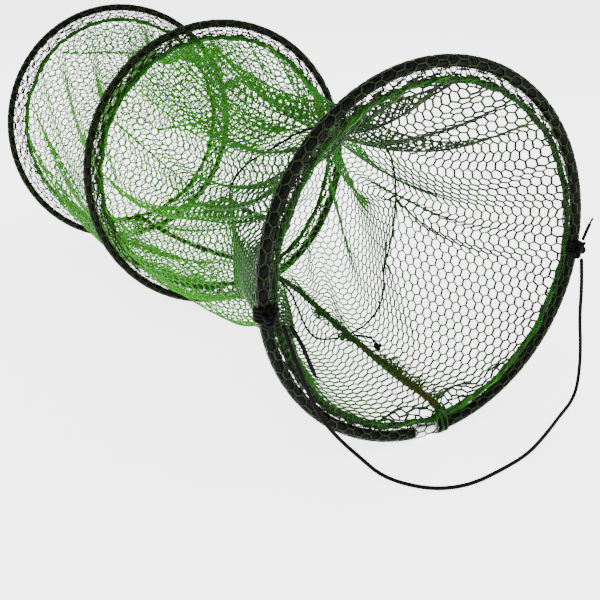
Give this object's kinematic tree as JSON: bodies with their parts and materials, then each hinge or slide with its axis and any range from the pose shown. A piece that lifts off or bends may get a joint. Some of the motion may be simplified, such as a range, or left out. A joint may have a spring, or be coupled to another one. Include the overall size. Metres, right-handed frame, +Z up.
{
  "type": "folding crab trap",
  "caption": "Collapsible net trap on hoops, with a drawn-in throat, a laced side seam and a cord handle; its hoops slide together so that it folds flat.",
  "frame": {"origin": "middle of the bottom of the box round the hoops and net, on the ground that the hoops stand on", "axes": "+Z up; +Y along the trap's axis from the mouth hoop to the tail hoop; +X to the right seen from the mouth"},
  "size_m": [0.3204, 0.7637, 0.3112],
  "materials": {
    "spring_wire": "drawn steel wire",
    "black_tube": "black soft plastic tube, semi-gloss",
    "clear_joint": "milky clear plastic sleeve",
    "hem_net": "dark olive knotless net over the tube",
    "lacing": "dark green twisted twine",
    "wall_net": "green knotless hexagonal net",
    "seam_twine": "olive laced seam",
    "black_cord": "black braided cord"
  },
  "bodies": {
    "mouth_hoop": {"mouth_hoop_wire": "spring_wire", "mouth_hoop_tube": "black_tube", "mouth_hoop_joint": "clear_joint", "mouth_hem_net": "hem_net", "mouth_hem_lacing": "lacing", "mouth_seam_lashing": "lacing", "front_wall_net": "wall_net", "front_side_seam": "seam_twine", "draw_cord_tail": "black_cord", "handle_cord": "black_cord", "handle_knot_right": "black_cord", "handle_knot_left": "black_cord", "handle_tail_right": "black_cord", "handle_tail_left": "black_cord"},
    "draw_cord": {"draw_cord": "black_cord", "draw_cord_knot": "black_cord"},
    "mid_hoop": {"mid_hoop_wire": "spring_wire", "mid_hoop_tube": "black_tube", "mid_hoop_joint": "clear_joint", "mid_hem_net": "hem_net", "mid_hem_lacing": "lacing", "mid_seam_lashing": "lacing", "rear_wall_net": "wall_net", "rear_side_seam": "seam_twine"},
    "tail_hoop": {"tail_hoop_wire": "spring_wire", "tail_hoop_tube": "black_tube", "tail_hoop_joint": "clear_joint", "tail_hem_net": "hem_net", "tail_hem_lacing": "lacing", "tail_seam_lashing": "lacing", "tail_end_net": "wall_net"}
  },
  "joints": [
    {"name": "mid_hoop_slide", "type": "slide", "parent": "mouth_hoop", "child": "mid_hoop", "axis": [0, -1, 0], "range_m": [0, 0.359], "deforming": ["front_wall_net", "front_side_seam", "draw_cord_tail"]},
    {"name": "tail_hoop_slide", "type": "slide", "parent": "mid_hoop", "child": "tail_hoop", "axis": [0, -1, 0], "range_m": [0, 0.2798], "deforming": ["rear_wall_net", "rear_side_seam"]},
    {"name": "draw_cord_slide", "type": "slide", "parent": "mouth_hoop", "child": "draw_cord", "axis": [0, -1, 0], "range_m": [0, 0.1715]}
  ],
  "couplings": [
    {"joint": "draw_cord_slide", "follows": "mid_hoop_slide", "ratio": 0.4775}
  ]
}
